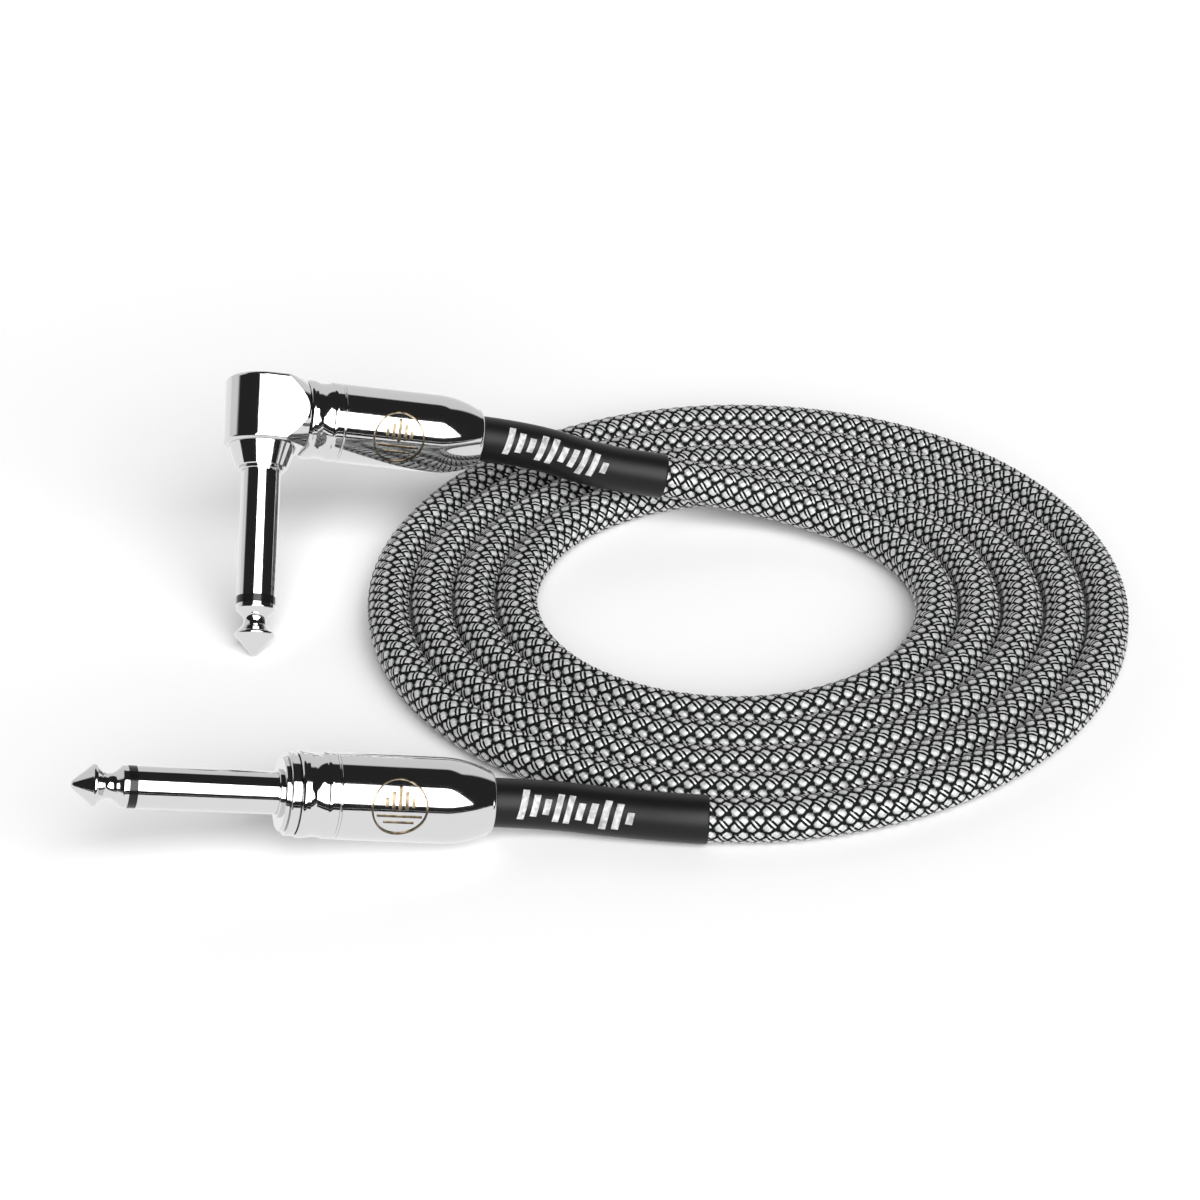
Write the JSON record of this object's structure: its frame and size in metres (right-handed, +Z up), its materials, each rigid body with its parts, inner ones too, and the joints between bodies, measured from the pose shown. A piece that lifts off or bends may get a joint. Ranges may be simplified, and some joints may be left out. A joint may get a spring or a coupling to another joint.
{
  "type": "instrument cable",
  "caption": "Braided instrument cable laid in a flat spiral coil, with a straight jack plug on one end and a right-angle jack plug on the other.",
  "frame": {"origin": "centre of the coil, on the surface that it lies on", "axes": "+Z up from the surface; +X along the surface from the plugs towards the far side of the coil; +Y along the surface towards the back of the coil, where the cord crosses over the turns"},
  "size_m": [0.1631, 0.1378, 0.0369],
  "materials": {
    "plated_brass": "polished",
    "black_insulator": "gloss",
    "lug_brass": "satin",
    "copper": "satin",
    "clear_tube": "gloss",
    "core_insulation": "satin",
    "heat_shrink": "satin",
    "braid": "satin"
  },
  "bodies": {
    "cable": {"straight_tip_contact": "plated_brass", "straight_insulator_ring": "black_insulator", "straight_liner": "black_insulator", "straight_sleeve": "plated_brass", "straight_rear_washer": "black_insulator", "straight_tip_lug": "lug_brass", "straight_ground_lug": "lug_brass", "straight_cable_end": "braid", "straight_core": "core_insulation", "straight_conductor": "copper", "straight_shield_pigtail": "copper", "straight_boot": "heat_shrink", "angled_tip_contact": "plated_brass", "angled_insulator_ring": "black_insulator", "angled_liner": "black_insulator", "angled_sleeve": "plated_brass", "angled_rear_washer": "black_insulator", "angled_tip_lug": "lug_brass", "angled_ground_lug": "lug_brass", "angled_cable_end": "braid", "angled_core": "core_insulation", "angled_conductor": "copper", "angled_shield_pigtail": "copper", "angled_boot": "heat_shrink", "angled_head": "plated_brass", "angled_head_cap": "plated_brass", "cord_coil": "braid", "cord_straight_lead": "braid", "cord_crossing_lead": "braid"},
    "straight_tube_carrier": {"straight_insulating_tube": "clear_tube"},
    "straight_barrel_body": {"straight_barrel": "plated_brass"},
    "angled_tube_carrier": {"angled_insulating_tube": "clear_tube"},
    "angled_barrel_body": {"angled_barrel": "plated_brass"}
  },
  "joints": [
    {"name": "straight_barrel_travel", "type": "slide", "parent": "cable", "child": "straight_tube_carrier", "axis": [0.9609, 0.2007, -0.1908], "range_m": [0, 0.005]},
    {"name": "straight_barrel_turn", "type": "hinge", "parent": "straight_tube_carrier", "child": "straight_barrel_body", "pos_m": [-0.06753, -0.06682, 0.01172], "axis": [0.9609, 0.2007, -0.1908], "range_deg": [0, 1800]},
    {"name": "angled_barrel_travel", "type": "slide", "parent": "cable", "child": "angled_tube_carrier", "axis": [0.9484, 0.2068, -0.2402], "range_m": [0, 0.005]},
    {"name": "angled_barrel_turn", "type": "hinge", "parent": "angled_tube_carrier", "child": "angled_barrel_body", "pos_m": [-0.07095, 0.0187, 0.02711], "axis": [0.9484, 0.2068, -0.2402], "range_deg": [0, 1800]}
  ],
  "couplings": [
    {"joint": "straight_barrel_travel", "follows": "straight_barrel_turn", "m_per_rad": 0.00015915},
    {"joint": "angled_barrel_travel", "follows": "angled_barrel_turn", "m_per_rad": 0.00015915}
  ]
}
